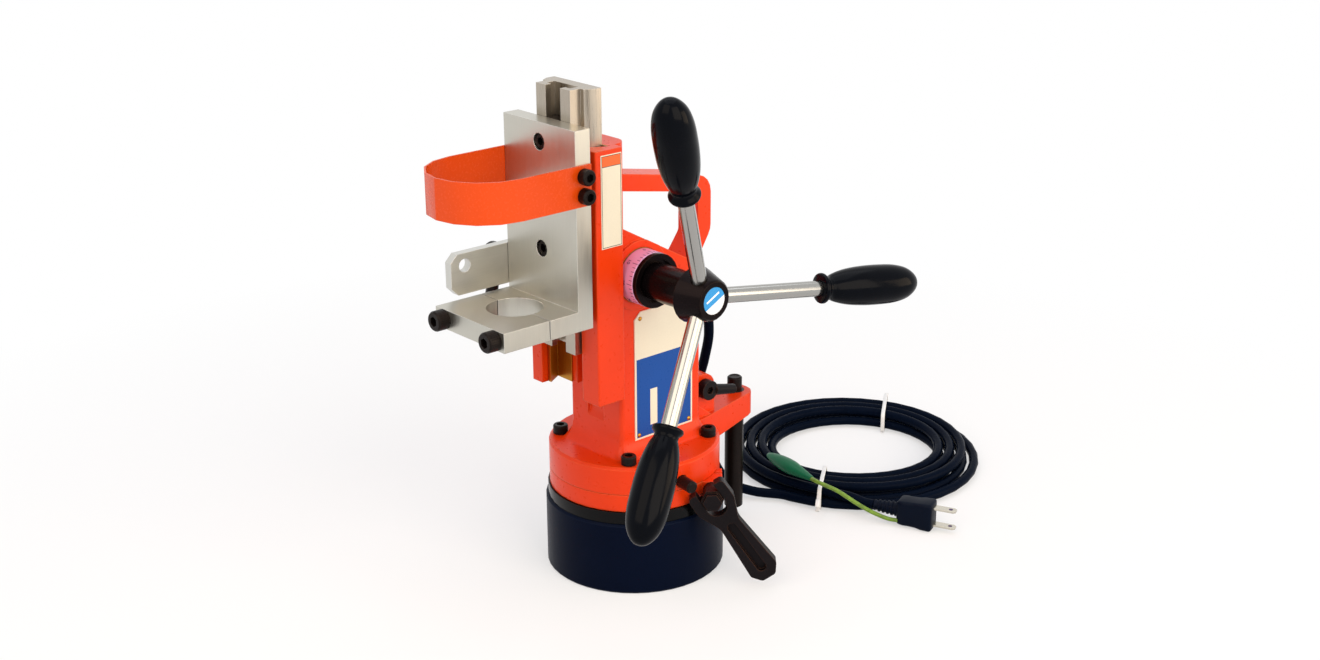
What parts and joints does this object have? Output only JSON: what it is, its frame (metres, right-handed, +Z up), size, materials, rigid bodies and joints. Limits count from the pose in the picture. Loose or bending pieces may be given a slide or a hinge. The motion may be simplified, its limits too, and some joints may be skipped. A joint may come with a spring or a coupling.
{
  "type": "magnetic drill stand",
  "caption": "Magnetic-base drill stand: round electromagnet, swivelling cast column with carry handle, rack-fed slide with collar clamp bracket, feed capstan, jack foot and coiled mains cord.",
  "frame": {"origin": "centre of the magnet's bottom face, on the work surface", "axes": "+Z up along the swivel axis, -Y towards the drill side that the bracket faces, +X towards the feed capstan"},
  "size_m": [0.234, 0.4818, 0.3505],
  "materials": {
    "red_paint": "gloss orange-red paint",
    "magnet_paint": "satin navy-black paint",
    "black_paint": "gloss black paint",
    "winding": "varnished copper winding",
    "steel": "ground and oiled",
    "dark_steel": "milled",
    "black_oxide": "black oxide",
    "brass": "milled",
    "bronze": "turned bronze",
    "aluminium": "brushed",
    "chrome": "polished",
    "phenolic": "polished black",
    "switch_red": "gloss red",
    "dial_pink": "anodised pink",
    "cord_rubber": "satin black",
    "tie_white": "plain white",
    "earth_green": "satin green"
  },
  "bodies": {
    "base": {"magnet_body": "magnet_paint", "magnet_coil": "winding", "coil_cover": "brass", "base_ring": "black_paint", "swivel_hub": "steel", "hub_bolt": "black_oxide"},
    "column": {"swivel_plate": "red_paint", "stop_pin": "steel", "column_casting": "red_paint", "guide_gib": "brass", "guide_strip": "brass", "gib_screw_1": "black_oxide", "gib_screw_2": "black_oxide", "gib_screw_3": "black_oxide", "flange_screw_1": "black_oxide", "flange_screw_2": "black_oxide", "flange_screw_3": "black_oxide", "flange_screw_4": "black_oxide", "shaft_bush_right": "bronze", "shaft_bush_left": "bronze", "switch_bezel": "phenolic", "cord_gland": "cord_rubber", "cord_lead": "cord_rubber", "cord_coil": "cord_rubber", "cord_tail": "cord_rubber", "cord_tie_rear": "tie_white", "cord_tie_front": "tie_white", "mains_plug": "cord_rubber", "earth_lead": "earth_green"},
    "rocker": {"magnet_rocker": "switch_red"},
    "slide": {"slide_bar": "steel", "feed_rack": "dark_steel", "tee_bar": "black_oxide", "bracket": "aluminium", "clamp_cap": "aluminium", "clamp_screw_1": "black_oxide", "clamp_screw_2": "black_oxide", "bracket_bolt_1": "black_oxide", "bracket_bolt_2": "black_oxide", "guard_strap": "red_paint", "guard_screw_1": "black_oxide", "guard_screw_2": "black_oxide", "guard_screw_3": "black_oxide", "guard_screw_4": "black_oxide"},
    "stay_arm": {"side_arm": "aluminium"},
    "stay_knob": {"arm_knob": "phenolic"},
    "capstan": {"pinion_shaft": "steel", "dial_sleeve": "black_oxide", "feed_hub": "phenolic", "feed_rod_1": "chrome", "feed_rod_2": "chrome", "feed_rod_3": "chrome", "feed_knob_1": "phenolic", "feed_knob_2": "phenolic", "feed_knob_3": "phenolic"},
    "dial": {"dial_ring": "dial_pink"},
    "swivel_clamp": {"clamp_bolt": "black_oxide", "clamp_lever": "black_oxide"},
    "jack": {"jack_screw": "black_oxide"},
    "jack_clamp": {"jack_lock": "black_oxide"}
  },
  "joints": [
    {"name": "column_swivel", "type": "hinge", "parent": "base", "child": "column", "pos_m": [0, 0, 0.0638], "axis": [0, 0, 1], "range_deg": [-30, 30]},
    {"name": "feed_turn", "type": "hinge", "parent": "column", "child": "capstan", "pos_m": [0, -0.01785, 0.2112], "axis": [1, 0, 0], "range_deg": [-128.9, 179]},
    {"name": "slide_travel", "type": "slide", "parent": "column", "child": "slide", "axis": [0, 0, 1], "range_m": [-0.05, 0.036]},
    {"name": "dial_turn", "type": "hinge", "parent": "capstan", "child": "dial", "pos_m": [0.03445, -0.01785, 0.2112], "axis": [1, 0, 0], "continuous": true},
    {"name": "stay_arm_swing", "type": "hinge", "parent": "slide", "child": "stay_arm", "pos_m": [-0.0348, -0.0683, 0.2165], "axis": [1, 0, 0], "range_deg": [-40, 45]},
    {"name": "stay_knob_turn", "type": "hinge", "parent": "slide", "child": "stay_knob", "pos_m": [-0.0348, -0.0683, 0.2165], "axis": [1, 0, 0], "continuous": true},
    {"name": "clamp_lever_turn", "type": "hinge", "parent": "column", "child": "swivel_clamp", "pos_m": [0.06089, 0.01431, 0.0638], "axis": [0.7408, -0.6717, 0], "range_deg": [-26, 34]},
    {"name": "jack_travel", "type": "slide", "parent": "column", "child": "jack", "axis": [0, 0, 1], "range_m": [-0.006, 0]},
    {"name": "jack_lock_turn", "type": "hinge", "parent": "column", "child": "jack_clamp", "pos_m": [0.018, 0.0465, 0.1146], "axis": [1, 0, 0], "range_deg": [-15, 60]},
    {"name": "magnet_switch", "type": "hinge", "parent": "column", "child": "rocker", "pos_m": [-0.02625, 0.002, 0.1546], "axis": [0, 1, 0], "range_deg": [0, 14]}
  ],
  "couplings": [
    {"joint": "slide_travel", "follows": "feed_turn", "m_per_rad": -0.016}
  ]
}
